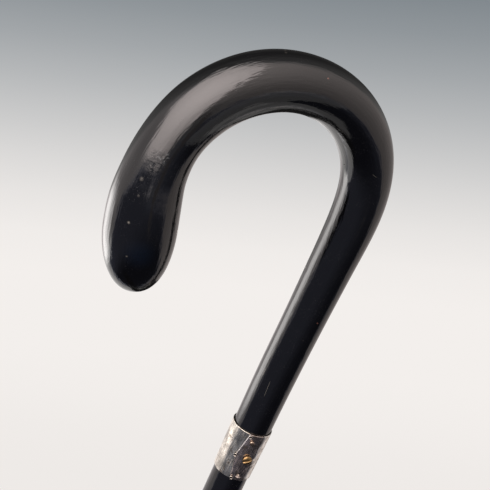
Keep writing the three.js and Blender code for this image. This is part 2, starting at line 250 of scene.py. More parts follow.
def buildStudio():
    world = bpy.data.worlds.new("studio")
    world.use_nodes = True
    scene.world = world
    r = Recipe(world.node_tree)
    direction = r.node("ShaderNodeTexCoord", output="Generated")
    # parts to the right and up, divided by the root of twice (1 + the part towards the camera)
    spread = ((r.dot(direction, back) + 1) * 2).most(0.0001) ** -0.5
    x = r.dot(direction, right) * spread
    y = r.dot(direction, up) * spread
    far = (x * x + y * y) ** 0.5

    # 1 above a limit, 0 below it
    def past(value, limit, width):
        return value.step(limit - width / 2, limit + width / 2)

    # 1 on the left of a line, 0 on its right
    def side(start, end, width):
        return past(leftOf(start, end, x, y), 0, width)

    # lays a zone over what is there already
    def lay(mask, newLevel, newTone):
        nonlocal level, tone
        level = level + (newLevel - level) * mask
        tone = r.mix(mask, tone, newTone)

    wall, wing, behind, under, ceiling, room, shade, gap, box = studio.values()
    # side walls, which brighten towards the softbox
    wallLevel = wall["gain"] * y.step(*wall["rise"]) * (wall["near"] - x * wall["slope"]).most(0)
    wallLevel = (wall["low"] + wallLevel) * (1 - wall["dim"] * x.step(*wall["dimmed"]))
    level = wing["level"] + wing["glow"] * x.step(*wing["glowing"])
    tone = wing["tone"]
    lay(x.step(*wing["over"]), wallLevel, wall["tone"])
    # the pale sweep low behind the stick, and its shadow right under the stick
    sweepLevel = behind["level"] + (behind["dark"] - behind["level"]) * x.step(*behind["darkened"])
    lay(y.step(*behind["down"]) * x.step(*behind["across"]), sweepLevel, behind["tone"])
    shape = past(far, *under["reach"]) * (1 - past(y, *under["top"])) * past(x, *under["left"])
    lay(shape * (1 - past(x, *under["right"])), under["level"], behind["tone"])
    # the dark ceiling, whose edge is bowed
    height = y + (x - ceiling["middle"]) * (x - ceiling["middle"]) * ceiling["bow"]
    ceilingLevel = ceiling["level"] + ceiling["glow"] * height.step(*ceiling["glowing"])
    lay(past(height, *ceiling["edge"]), ceilingLevel, ceiling["tone"])
    # the dark room on the camera's side, which lies under a broken line
    first, second, third, last = (side(*line) for line in room["top"])
    above = (first.most(second) * third).most(last * x.step(*room["lastFrom"]))
    shape = (1 - above) * (1 - past(far, *room["reach"])) * (1 - past(x, *room["right"]))
    roomLevel = room["low"] + (room["high"] - room["low"]) * (y - x * room["tilt"]).step(*room["rise"])
    roomLevel = roomLevel + room["haze"] * x.step(*room["hazeFrom"]) * y.step(*room["hazeDown"])
    lay(shape * (1 - side(*room["left"])), roomLevel, room["tone"])
    # the stick's own dark side, seen low behind it
    shape = side(*shade["left"]) * side(*shade["right"])
    lay(shape * far.step(*shade["far"]), shade["level"], behind["tone"])
    # a dark gap in the wall
    leaning = x + (y - gap["middle"]) * gap["lean"]
    shape = past(leaning, *gap["left"]) * (1 - past(leaning, *gap["right"]))
    lay(shape * (1 - past(y, *gap["top"])) * past(y, *gap["bottom"]), gap["level"], wall["tone"])
    # the softbox above, brightest in its middle, with a bowed top edge
    dx, dy = x - box["middle"][0], y - box["middle"][1]
    shape = past(x, *box["left"])
    for start, end in zip(box["corners"], box["corners"][1:]):
        shape = shape * side(start, end, box["soft"])
    crown = y + (x - box["topMiddle"]) * (x - box["topMiddle"]) * box["topBow"]
    boxLevel = box["level"] * (1 - (dx * dx + dy * dy) * box["fall"])
    lay(shape * (1 - past(crown, *box["top"])), boxLevel, box["tone"])

    low, high = sweep["bottom"], sweep["top"]
    heights = np.linspace(low, high, sweep["stops"])[:, None]
    near, middle, top = (np.array(sweep[name]) for name in ("near", "middle", "grey"))
    colors = middle + (top - middle) * smooth(heights, *sweep["greying"])
    colors = colors + (near - middle) * smooth(heights, *sweep["nearing"])
    stops = list(zip(np.linspace(0, 1, sweep["stops"]), [fromScreen(color) for color in colors]))
    place = r.dot(direction, up) + r.dot(direction, right) * sweep["lean"]
    seen = r.node("ShaderNodeValToRGB", {"stops": stops}, {0: (place - low) * (1 / (high - low))})
    byCamera = r.node("ShaderNodeLightPath", output="Is Camera Ray")
    lit = r.node("ShaderNodeBackground", {}, {"Color": tone, "Strength": level})
    plain = r.node("ShaderNodeBackground", {}, {"Color": seen, "Strength": 1.0})
    r.surface("ShaderNodeMixShader", {0: byCamera, 1: lit, 2: plain}, "ShaderNodeOutputWorld")


buildStudio()
print("studio lit")


# A closed surface from a grid of places: rows along the piece, columns round it. A row whose places are all
# one is a pole, and a ring's last row joins its first. Places are in mm from the collar's top. Faces that
# enclose a negative volume are turned round.
def skin(name, rows, straight, ring=False):
    count, around = rows.shape[:2]
    index = np.arange(count * around).reshape(count, around)
    for k in (0, -1):
        if np.ptp(rows[k], axis=0).max() < 1e-6:
            index[k] = index[k, 0]
    used, index = np.unique(index, return_inverse=True)
    index = index.reshape(count, around)
    places = rows.reshape(-1, 3)[used]
    here = index if ring else index[:-1]
    there = np.roll(index, -1, axis=0) if ring else index[1:]
    quads = np.stack([here, np.roll(here, -1, 1), np.roll(there, -1, 1), there], -1).reshape(-1, 4)
    a, b, c, d = np.moveaxis(places[quads] - places.mean(0), 1, 0)
    if np.einsum("ij,ij->", a, np.cross(b, c) + np.cross(c, d)) < 0:
        quads = quads[:, ::-1]
    kept = quads != np.roll(quads, -1, axis=1)      # at a pole two corners fall together
    quads, kept = quads[kept.sum(1) > 2], kept[kept.sum(1) > 2]
    sizes = kept.sum(1)
    mesh = bpy.data.meshes.new(name)
    mesh.vertices.add(len(places))
    mesh.vertices.foreach_set("co", ((places + [0, 0, collarTop / mm]) * mm).ravel())
    mesh.loops.add(int(sizes.sum()))
    mesh.loops.foreach_set("vertex_index", quads[kept])
    mesh.polygons.add(len(sizes))
    mesh.polygons.foreach_set("loop_start", np.concatenate([[0], np.cumsum(sizes)[:-1]]))
    mesh.polygons.foreach_set("use_smooth", np.ones(len(sizes), bool))
    held = mesh.attributes.new("straight", "FLOAT_VECTOR", "POINT")
    held.data.foreach_set("vector", (straight.reshape(-1, 3)[used] * mm).ravel())
    mesh.update(calc_edges=True)
    mesh.validate()
    mesh.set_sharp_from_angle(angle=math.radians(sharpAngle))
    return stand(name, mesh)


# Gives a piece its material, hangs it under the root body and hides the solid it stands for
def settle(piece, node, material):
    piece.data.materials.append(material)
    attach(piece, "root")
    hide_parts(node)
    print(piece.name, len(piece.data.polygons), "faces")


# Places from a radius, an angle and a height: x is r cos angle, and y is r sin angle
def polar(radius, angle, height):
    return np.stack([radius * np.cos(angle), radius * np.sin(angle), height + 0 * radius * angle], -1)


# A profile of (radius, height) turned round the axis
def turned(profile, sides):
    return polar(profile[:, :1], np.linspace(0, 2 * np.pi, sides, endpoint=False), profile[:, 1:])


# Places along a broken line, close together on its long stretches, so that no face is long
def filled(points, longest):
    points = np.asarray(points, float)
    steps = np.maximum(np.ceil(np.hypot(*np.diff(points, axis=0).T) / longest).astype(int), 1)
    stretches = [np.linspace(a, b, n, endpoint=False) for a, b, n in zip(points, points[1:], steps)]
    return np.concatenate(stretches + [points[-1:]])


# A turned piece, from the corners of its profile
def turnedPiece(name, corners, longest, sides, ring=False):
    rows = turned(filled(corners, longest), sides)
    return skin(name, rows, rows, ring)


# The joint inside the collar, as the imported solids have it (mm)
joint = {
    "collarLength": 26.5, "collarTopRadius": 9.8, "collarBottomRadius": 9.35, "wall": 0.5, "clearance": 0.15,
    "share": 0.72, "boreRadius": 4.1, "boreDepth": 30.0,
}
loose = joint["clearance"]
neck = joint["collarTopRadius"] - joint["wall"] - loose
shaftHead = joint["collarBottomRadius"] - joint["wall"] - loose
jointDepth = joint["collarLength"] * joint["share"]
jointRadius = neck + (shaftHead - neck) * joint["share"]

crook = {
    "lean": 1.5, "leanLength": 54.0,                       # degrees and mm
    "straight": 91.1, "easeIn": 53.1, "easeOut": 86.6, "noseStraight": 3.6,
    "bendRadius": 47.64, "bend": 196.6,
    "knobRadius": 15.5, "knobLength": 29.4, "shoulderPower": 2.38,
    # shares of the way to the knob, and how much of the swelling is reached there
    "swell": [(0, 0), (0.1, 0.046), (0.2, 0.087), (0.3, 0.176), (0.385, 0.293), (0.47, 0.352),
              (0.55, 0.413), (0.636, 0.48), (0.72, 0.585), (0.8, 0.594), (0.862, 0.578), (0.911, 0.7),
              (0.958, 0.927), (1, 1)],
    "sides": 176, "rows": 330, "capRows": 60, "boreStep": 3.0, "centreSteps": 6000,
}
roundLength = math.radians(crook["bend"]) * crook["bendRadius"] - (crook["easeIn"] + crook["easeOut"]) / 2
easeOutStart = crook["straight"] + crook["easeIn"] + roundLength
crookLength = easeOutStart + crook["easeOut"] + crook["noseStraight"]
knobStart = crookLength - crook["knobLength"]


# Direction of the centreline at a station: a lean back, then a curvature that grows, holds and dies away
def turnAt(station):
    def eased(t):       # area under the smooth step
        t = np.maximum(t, 0)
        return np.where(t < 1, t ** 3 - t ** 4 / 2, t - 0.5)
    gained = crook["easeIn"] * eased((station - crook["straight"]) / crook["easeIn"])
    lost = crook["easeOut"] * eased((station - easeOutStart) / crook["easeOut"])
    lean = math.radians(crook["lean"]) * smooth(station, 0, crook["leanLength"])
    return (gained - lost) / crook["bendRadius"] - lean


# the centreline itself: its direction summed up in small steps
finely = np.linspace(0, crookLength, crook["centreSteps"] + 1)
turns = turnAt(finely)
halfStep = np.diff(finely) / 2
centreX = -np.concatenate([[0], np.cumsum((np.sin(turns[1:]) + np.sin(turns[:-1])) * halfStep)])
centreZ = np.concatenate([[0], np.cumsum((np.cos(turns[1:]) + np.cos(turns[:-1])) * halfStep)])


# Smooth curve through a table, level at its last point: cubic pieces with the slopes of their neighbours
def through(table, place):
    x, y = np.array(table, float).T
    last = len(x) - 1
    before, after = np.maximum(np.arange(last + 1) - 1, 0), np.minimum(np.arange(last + 1) + 1, last)
    slope = (y[after] - y[before]) / (x[after] - x[before])
    slope[last] = 0
    i = np.clip(np.searchsorted(x, place) - 1, 0, last - 1)
    width, rise = x[i + 1] - x[i], y[i + 1] - y[i]
    t = (place - x[i]) / width
    bulge = (1 - t) * (slope[i] * width - rise) - t * (slope[i + 1] * width - rise)
    return y[i] + t * rise + t * (1 - t) * bulge


# The handle swells from the neck to the knob, which closes like a flattened quarter circle at the nose
def crookRadius(station):
    t = np.clip((station - knobStart) / crook["knobLength"], 0, 1)
    cap = crook["knobRadius"] * (1 - t ** 2) ** (1 / crook["shoulderPower"])
    body = neck + (crook["knobRadius"] - neck) * through(crook["swell"], np.clip(station / knobStart, 0, 1))
    return np.where(station > knobStart, cap, body)


# Carries rows of (radius, station) onto the centreline; the columns go round it from its outer side
def bent(radii, stations, sides):
    angle = np.linspace(0, 2 * np.pi, sides, endpoint=False)
    s = np.maximum(stations, 0)
    turn = np.where(stations > 0, turnAt(s), 0)[:, None]
    x = np.interp(s, finely, centreX)[:, None]
    z = np.where(stations > 0, np.interp(s, finely, centreZ), stations)[:, None]
    out, side = radii[:, None] * np.cos(angle), radii[:, None] * np.sin(angle)
    places = np.stack([x + out * np.cos(turn), side, z + out * np.sin(turn)], -1)
    return places, np.stack([out, side, stations[:, None] + 0 * out], -1)


# The handle: down the dowel's bore, out and up to the neck, then along the centreline to the nose
def buildCrook():
    boreTop = joint["boreDepth"] - jointDepth
    inner = filled([(0, boreTop), (joint["boreRadius"], boreTop), (joint["boreRadius"], -jointDepth),
                    (jointRadius, -jointDepth), (neck, 0)], crook["boreStep"])
    stations = np.linspace(0, knobStart, crook["rows"])[1:]
    cap = knobStart + crook["knobLength"] * np.sin(np.linspace(0, np.pi / 2, crook["capRows"])[1:])
    stations = np.concatenate([stations, cap])
    radii = np.concatenate([inner[:, 0], crookRadius(stations)])
    radii[-1] = 0
    rows, straight = bent(radii, np.concatenate([inner[:, 1], stations]), crook["sides"])
    return skin("crook", rows, straight)


shaft = {"footRadius": 7.0, "length": 651.0, "sides": 128, "longest": 6.0}
ferrule = {
    "tipRadius": 5.6, "tipThickness": 6.0, "tipRound": 1.2, "spigotRadius": 3.0, "spigotLength": 14.0,
    "length": 38.0, "bottomRadius": 6.4, "topRadius": 7.2, "wall": 0.6, "floor": 1.0, "footEdge": 0.15,
    "beadHeight": 1.6, "beadProud": 0.4, "beadRows": 17, "roundRows": 9, "sides": 128,
    "shellLongest": 1.5, "tipLongest": 0.8,
}
ground = -joint["collarLength"] - shaft["length"] - ferrule["length"] - ferrule["tipThickness"]
ferruleFoot = ground + ferrule["tipThickness"]
ferruleMouth = ferruleFoot + ferrule["length"]
tenonFoot = ferruleFoot + ferrule["floor"]
spigotTop = ferruleFoot + ferrule["spigotLength"]
spigotBore = ferrule["spigotRadius"] + loose


# The ferrule's outer cone, in mm at a height
def shellRadius(height):
    share = (height - ferruleFoot) / ferrule["length"]
    return ferrule["bottomRadius"] + (ferrule["topRadius"] - ferrule["bottomRadius"]) * share


# The shaft, turned: round the tip's spigot, up the tenon in the ferrule and the taper, into the dowel's bore
def buildShaft():
    tenonBottom = shellRadius(tenonFoot) - ferrule["wall"] - loose
    tenonTop = shellRadius(ferruleMouth) - ferrule["wall"] - loose
    return turnedPiece("shaft_wood", [
        (0, spigotTop + loose), (spigotBore, spigotTop + loose), (spigotBore, tenonFoot),
        (tenonBottom, tenonFoot), (tenonTop, ferruleMouth),
        (shaft["footRadius"], ferruleMouth), (shaftHead, -joint["collarLength"]), (jointRadius, -jointDepth),
        (joint["boreRadius"], -jointDepth), (joint["boreRadius"], -jointDepth - joint["boreDepth"]),
        (0, -jointDepth - joint["boreDepth"]),
    ], shaft["longest"], shaft["sides"])


# The ferrule's shell, turned: over its foot, up the cone, round a half-circle bead and down inside
def buildShell():
    angle = np.linspace(-np.pi / 2, np.pi / 2, ferrule["beadRows"])
    height = ferruleMouth - ferrule["beadHeight"] / 2 * (1 - np.sin(angle))
    bead = np.stack([shellRadius(height) + ferrule["beadProud"] * np.cos(angle), height], 1)
    return turnedPiece("ferrule_cone", [
        (spigotBore, ferruleFoot), (ferrule["bottomRadius"] - ferrule["footEdge"], ferruleFoot),
        (ferrule["bottomRadius"], ferruleFoot + ferrule["footEdge"]), *bead,
        (shellRadius(ferruleMouth) - ferrule["wall"], ferruleMouth),
        (shellRadius(tenonFoot) - ferrule["wall"], tenonFoot), (spigotBore, tenonFoot),
    ], ferrule["shellLongest"], ferrule["sides"], ring=True)


# The iron tip, turned: its flat face, a quarter-circle edge, the disc and the spigot
def buildTip():
    angle = np.linspace(-np.pi / 2, 0, ferrule["roundRows"])
    edge = ferrule["tipRadius"] - ferrule["tipRound"]
    roundEdge = np.stack([edge + ferrule["tipRound"] * np.cos(angle),
                          ground + ferrule["tipRound"] * (1 + np.sin(angle))], 1)
    return turnedPiece("iron_tip", [
        (0, ground), *roundEdge, (ferrule["tipRadius"], ferruleFoot), (ferrule["spigotRadius"], ferruleFoot),
        (ferrule["spigotRadius"], spigotTop), (0, spigotTop),
    ], ferrule["tipLongest"], ferrule["sides"])


collar = {
    "lapThickness": 0.42, "lapPoint": 2.4, "lapFade": 11.0, "lapAngle": -118.0,     # mm and degrees
    # shares of the collar's height between which the leaf gets thinner, and by how much
    "thinning": (0.475, 0.975), "thinned": 0.55,
    "bevel": 0.27, "bevelBulge": 0.12, "groove": 0.06, "grooveWidth": 0.25, "slit": 0.05, "rimRound": 0.2,
    # soft waves from the hammer: (times round, lean per mm, start, radians per mm, start, share)
    "waves": [(3, 0.35, 0, 0.42, 1.3, 1.0), (7, -0.5, 2, 0.7, math.pi / 2, 0.6)], "waveHeight": 0.0175,
    # the lower rim goes up and down a little: (times round, start, share)
    "rimWaves": [(2, 0.6, 1.0), (5, 0, 0.5)], "rimHeight": 0.11, "rimPower": 12,
    # hand wear: (angle, height from the top, size round, size down, how far it stands out)
    "dents": [(-99.7, -23.3, 0.75, 0.55, -0.55), (-96.0, -24.75, 1.2, 0.33, 0.38),
              (-73.5, -14.3, 0.7, 0.5, 0.3), (-150, -9, 2.4, 3.0, -0.06), (-168, -18, 2.0, 3.5, -0.07),
              (-84, -8, 1.6, 3.0, -0.04)],
    # a creased line on the right: (angle, height from the top), with its width and how far it stands out
    "crease": [(-61, -15.6), (-77, -17.7), (-86, -19.9), (-93, -23.4)],
    "creaseWidth": 0.3, "creaseHeight": 0.12,
    # the leaf's edge is coloured darker: how wide, and how much at two shares of the height
    "edgeDarkWidth": 0.33, "edgeDark": ((0.3, 0.625), (1, 0.35)),
    "rows": 170, "columns": 280, "insideRows": 24, "bendRows": 6,
    # the columns close to the leaf's edge, as arcs in mm
    "nearEdge": [0, 0.02, 0.06, 0.11, 0.16, 0.21, 0.25, 0.27, 0.32, 0.4, 0.6, 0.9, 1.4],
}


# The collar's plain cone, in mm at a depth below its top
def coneRadius(depth):
    share = depth / joint["collarLength"]
    return joint["collarTopRadius"] + (joint["collarBottomRadius"] - joint["collarTopRadius"]) * share


# The collar's outer face at a depth below its top and an arc from the leaf's edge: the cone, the raised leaf
# that sinks back along a parabola, and a groove that dies away exponentially on the edge's other side
def collarRadius(depth, arc, whole):
    step = np.clip(arc / collar["bevel"], 0, 1)
    step = step * (1 + collar["bevelBulge"] * (1 - step))
    raised = collar["lapThickness"] * step * np.clip(1 - arc / collar["lapFade"], 0, 1) ** 2
    thinned = np.interp(depth / joint["collarLength"], collar["thinning"], (0, collar["thinned"]))
    groove = collar["groove"] * np.exp((arc - whole) / collar["grooveWidth"])
    return coneRadius(depth) + raised * (1 - thinned) - groove


# What hammer and use add to it: products of two sines, a bell curve for each dent, and a bell curve over the
# distance from the creased line
def collarDetail(angle, z):
    offset, radius = 0 * z, joint["collarTopRadius"]
    for around, lean, start, along, shift, share in collar["waves"]:
        offset = offset + share * np.sin(around * angle + lean * z + start) * np.sin(along * z + shift)
    offset = offset * collar["waveHeight"]
    for place, height, wide, high, depth in collar["dents"]:
        arc = (np.mod(angle - math.radians(place) + np.pi, 2 * np.pi) - np.pi) * radius
        offset = offset + depth * np.exp(-(arc / wide) ** 2 - ((z - height) / high) ** 2)
    line = [(math.radians(place + 360) * radius, height) for place, height in collar["crease"]]
    arc, away = np.mod(angle, 2 * np.pi) * radius, np.inf
    for (x, y), (nextX, nextY) in zip(line, line[1:]):
        dx, dy = nextX - x, nextY - y
        share = np.clip(((arc - x) * dx + (z - y) * dy) / (dx * dx + dy * dy), 0, 1)
        away = np.minimum(away, np.hypot(arc - x - dx * share, z - y - dy * share))
    return offset + collar["creaseHeight"] * np.exp(-(away / collar["creaseWidth"]) ** 2)


# The collar: rows go down its outer face and up its inner one, columns once round from the leaf's edge. The
# edge comes to a shallow point, because its angle follows a triangle over the height.
def buildCollar():
    length, wall, rim = joint["collarLength"], joint["wall"], collar["rimRound"]
    whole = 2 * np.pi * joint["collarTopRadius"] - collar["slit"]
    near = np.array(collar["nearEdge"])
    between = np.linspace(near[-1], whole - near[-1], collar["columns"])[1:-1]
    arcs = np.concatenate([near, between, whole - near[::-1]])
    depth = np.linspace(0, length, collar["rows"])
    bend = np.linspace(0, np.pi / 2, collar["bendRows"])

    # rows of (depth, inset from the outer face), with quarter circles round both rims
    outside = [(d, 0) for d in depth[(depth > rim) & (depth < length - rim)]]
    lower = [(length - rim + rim * math.sin(t), rim - rim * math.cos(t)) for t in bend]
    lowerIn = [(length - rim + rim * math.cos(t), wall - rim + rim * math.sin(t)) for t in bend]
    inside = [(d, wall) for d in np.linspace(length - rim, rim, collar["insideRows"])[1:-1]]
    topIn = [(rim - rim * math.sin(t), wall - rim + rim * math.cos(t)) for t in bend]
    topOut = [(rim - rim * math.cos(t), rim - rim * math.sin(t)) for t in bend]
    line = np.array(outside + lower + lowerIn + inside + topIn + topOut)
    d, inset = line[:, :1], line[:, 1:]
    point = 1 - np.abs(2 * d / length - 1)
    middle = (joint["collarTopRadius"] + joint["collarBottomRadius"]) / 2
    edge = math.radians(collar["lapAngle"]) - point * collar["lapPoint"] / middle
    angle = edge + arcs / joint["collarTopRadius"]
    uneven = sum(share * np.sin(around * angle + start) for around, start, share in collar["rimWaves"])
    z = collar["rimHeight"] * uneven * (d / length) ** collar["rimPower"] - d
    outer = collarRadius(d, arcs, whole) + collarDetail(angle, z)
    inner = coneRadius(d) - wall
    radius = np.where(inset < wall, np.maximum(outer - inset, inner), inner)
    flat = np.stack([angle * joint["collarTopRadius"], radius, z], -1)
    piece = skin("silver_collar", polar(radius, angle, z), flat, ring=True)
    # a darker colour along the leaf's edge, stronger near the top
    edgeDark = (arcs < collar["edgeDarkWidth"]) * np.interp(d / length, *collar["edgeDark"])
    held = piece.data.attributes.new("edgeDark", "FLOAT", "POINT")
    held.data.foreach_set("value", edgeDark.ravel())
    return piece


# Heads and shanks of the pins in mm, and where each one sits: its angle and its share of the collar's height
pins = {
    "collar_stud": {"angle": -96.0, "share": 0.52, "head": 2.3, "height": 1.2, "shank": 1.0, "length": 3.8,
                    "slot": 30.0, "slotWidth": 0.42, "slotDepth": 0.55, "slotPower": 0.7, "slotFrom": 0.1},
    "collar_pin": {"angle": -103.8, "share": 0.155, "head": 1.1, "height": 0.55, "shank": 0.55,
                   "length": 3.6},
    "collar_brad_top": {"angle": -114.3, "share": 0.045},
    "collar_brad_middle": {"angle": -131.0, "share": 0.498},
    "collar_brad_bottom": {"angle": -115.4, "share": 0.962},
    "ferrule_nail_front": {"angle": -90.0},
    "ferrule_nail_back": {"angle": 90.0},
}
brad = {"head": 0.85, "height": 0.4, "shank": 0.45, "length": 3.6, "cup": 0.6}
nail = {"head": 1.1, "height": 0.5, "shank": 0.6, "length": 3.6, "share": 0.8}
# All heads: how much of the height is a straight edge, where a cupped one's bowl starts on the way inwards,
# how far the underside is drawn in and how far it stands off the metal (mm)
heads = {"edge": 0.33, "bowlFrom": 0.33, "drawnIn": 0.08, "seat": 0.15, "steps": 26, "sides": 64}


# A head's profile: a short straight edge, then a dome whose height follows a sine, and for a cupped head a
# bowl that sinks back towards the middle along a smooth step
def pinProfile(pin):
    edge, t = pin["height"] * heads["edge"], np.linspace(0, 1, heads["steps"])
    dome = edge + (pin["height"] - edge) * np.sin(t * np.pi / 2)
    if "cup" in pin:
        rim = edge + (pin["height"] - edge) * np.sin(t / heads["bowlFrom"] * np.pi / 2)
        bowl = pin["height"] * (1 - pin["cup"] * smooth(t, heads["bowlFrom"], 1))
        dome = np.where(t < heads["bowlFrom"], rim, bowl)
    head = np.stack([pin["head"] * np.cos(t * np.pi / 2), dome], 1)
    head[-1, 0] = 0
    shank = [(0, -pin["length"]), (pin["shank"], -pin["length"]), (pin["shank"], 0)]
    return np.array([*shank, (pin["head"] - heads["drawnIn"], 0), *head])


# A pin driven in from the side: its profile is turned round its own axis, which is laid outwards at an angle.
# Its own places (across, up, outwards) go along as the surface's straight coordinates.
def buildPin(node, pin, radius, height):
    rows = turned(pinProfile(pin), heads["sides"])
    own = np.stack([rows[..., 1], -rows[..., 0], rows[..., 2]], -1)
    if "slot" in pin:       # a groove across the dome, rounded at its bottom
        turn = math.radians(pin["slot"])
        away = np.abs(own[..., 1] * math.cos(turn) - own[..., 0] * math.sin(turn))
        groove = np.clip(1 - (away / pin["slotWidth"]) ** 2, 0, 1) ** pin["slotPower"]
        own[..., 2] -= pin["slotDepth"] * (own[..., 2] > pin["slotFrom"]) * groove
    c, s = math.cos(math.radians(pin["angle"])), math.sin(math.radians(pin["angle"]))
    out, across = own[..., 2] + radius, own[..., 0]
    rows = np.stack([out * c - across * s, out * s + across * c, own[..., 1] + height], -1)
    return skin(node.replace("collar_", "") + "_head", rows, own)


def newMaterial(name):
    material = bpy.data.materials.new(name)
    material.use_nodes = True
    return material, Recipe(material.node_tree)


# Marks of use on the black lacquer, at places on the straightened handle: (towards the crook's outer side,
# towards its far side, along) in mm, with a radius and how strong they are. The number before each list is
# the share of the radius in which a mark is full.
specks = {
    "grey": (0.1, [((8.65, -10.57, 272.8), 1.2, 0.35), ((8.05, -11.84, 279.0), 0.8, 0.3),
                   ((9.37, -12.08, 290.2), 0.8, 1.0), ((8.28, -12.75, 304.8), 0.6, 0.6),
                   ((12.55, 0.3, 205.4), 0.7, 0.3), ((12.47, -1.6, 205.8), 0.6, 0.3),
                   ((9.0, -2.83, 33.3), 0.6, 0.8)]),
    "red": (0.1, [((7.6, -9.59, 191.45), 0.55, 1.0), ((0.82, -9.74, 64.4), 0.5, 1.0)]),
    "black": (0.5, [((-11.25, -2.2, 145.0), 0.55, 1.0)]),
}
# Scratches: (from, to, width), the share of the width that is full, the share of the length over which an end
# fades, and how strong they are
scratch = {
    "lines": [((-5.4, -8.0, 54.8), (-1.2, -9.6, 54.2), 0.16),
              ((-6.28, -7.05, 29.6), (-5.85, -7.3, 20.1), 0.14),
              ((-9.0, -2.9, 33.5), (-8.8, -3.3, 28.8), 0.3),
              ((-2.4, -11.16, 141.8), (-0.4, -11.36, 139.8), 0.12),
              ((-10.84, 2.78, 125.8), (-10.6, 3.4, 127.5), 0.25)],
    "core": 0.3, "fade": 0.2, "strength": 0.6,
}
# The lacquer: its colour and what lies over it, its noises and areas, and what makes it uneven and dull
gloss = {
    "base": (0.0006, 0.0006, 0.0009, 1), "ior": 1.55, "bump": 0.000016,
    # one over the other: how strong, and its colour
    # blue at the nose is a painted navy sheen; pale specks where the highlight ends are painted highlight
    "over": {"navySheen": (1.0, (0.0012, 0.0022, 0.0048, 1)), "dust": (0.5, (0.012, 0.012, 0.013, 1)),
             "highlightSpecks": (0.6, (0.1, 0.108, 0.11, 1)), "grey": (0.7, (0.1, 0.094, 0.08, 1)),
             "red": (1.0, (0.09, 0.04, 0.03, 1))},
    # noises: (scale, detail), between which of their values some of them come up, and how some are drawn out
    "noises": {"strokes": (1000, 2.0), "waves": (330, 1.0), "grain": (1500, 3.0), "rough": (800, 1.5),
               "patch": (420, 2.0), "highlightSpecks": (900, 3.0), "brushed": (1100, 1.0), "dust": (2600, 1.0),
               "dusty": (140, 2.0)},
    "limits": {"patch": (0.42, 0.6), "highlightSpecks": (0.5, 0.66), "dust": (0.66, 0.72), "dusty": (0.45, 0.6)},
    "strokeStretch": (1, 1, 0.14), "brushStretch": (1, 1, 0.22), "brushTurn": (0.2, 0, 0),
    # areas: (place, radius, share of it that is full)
    # at the nose: the painted navy sheen; at the highlight's end: the painted highlight specks
    "areas": {"patch": ((6.6, -11.1, 264.6), 6.0, 0.3), "highlightSpecks": ((5.2, -11.8, 261.9), 3.4, 0.2),
              "brushed": ((12.9, -1.2, 222), 16, 0.5), "navySheen": ((3.66, -14.9, 303.2), 9.0, 0.1)},
    "heights": {"strokes": 5, "waves": 1.5, "grain": 0.4, "rough": 2.6, "brushed": 9, "black": -6},
    "roughness": 0.06,
    "rougher": {"waves": 0.05, "patch": 0.3, "highlightSpecks": 0.3, "grey": 0.4, "black": 0.9, "dust": 0.2},
}


# Black lacquer over wood: nearly black, a clear gloss with a fine uneven skin, dust, the marks above,
# a painted navy sheen at the nose and painted highlight specks where the highlight ends
def lacquer():
    material, r = newMaterial("black_lacquer")
    straight = r.straight()

    # 1 near a place, 0 outside a radius
    def within(point, radius, core):
        away = r.vector("SUBTRACT", straight, tuple(v * mm for v in point))
        return r.length(away).step(radius * mm, radius * mm * core)

    # 1 on a line between two places
    def onLine(start, end, width):
        start, end = Vector(start) * mm, Vector(end) * mm
        line, length = (end - start).normalized(), (end - start).length
        away = r.vector("SUBTRACT", straight, tuple(start))
        aside = r.length(r.vector("CROSS_PRODUCT", away, tuple(line)))
        along = r.dot(away, tuple(line))
        ends = along.step(0, length * scratch["fade"]) * along.step(length, length * (1 - scratch["fade"]))
        return aside.step(width * mm, width * mm * scratch["core"]) * ends

    # waves of a few mm, hair-like strokes along the handle, a rough patch below the highlight, brushed marks
    # at its end, dust in places, pale specks at its end that are a painted highlight over a rougher spot, and
    # a blue cast at the nose that is a painted navy sheen
    brushing = r.node("ShaderNodeMapping", {}, {
        "Vector": straight, "Rotation": gloss["brushTurn"], "Scale": gloss["brushStretch"]})
    stretched = {"strokes": r.vector("MULTIPLY", straight, gloss["strokeStretch"]), "brushed": brushing}
    layers = {name: r.noise(stretched.get(name, straight), *noise) for name, noise in gloss["noises"].items()}
    for name, limits in gloss["limits"].items():
        layers[name] = layers[name].step(*limits)
    for name, area in gloss["areas"].items():
        layers[name] = within(*area) * layers.get(name, 1.0)
    layers["dust"] = layers["dust"] * layers["dusty"]
    layers["rough"] = layers["rough"] * layers["patch"]
    for name, (core, places) in specks.items():
        layers[name] = 0.0
        for point, radius, strength in places:
            layers[name] = within(point, radius, core) * strength + layers[name]
    for line in scratch["lines"]:
        layers["grey"] = onLine(*line) * scratch["strength"] + layers["grey"]

    color = gloss["base"]
    # over the base: dust, marks of use, a painted navy sheen and painted highlight specks
    for name, (strength, tone) in gloss["over"].items():
        color = r.mix(layers[name] * strength, color, tone)
    r.surface("ShaderNodeBsdfPrincipled", {
        "Base Color": color, "Roughness": weighed(gloss["rougher"], layers, gloss["roughness"]),
        "IOR": gloss["ior"], "Normal": r.bump(weighed(gloss["heights"], layers), 1.0, gloss["bump"])})
    return material


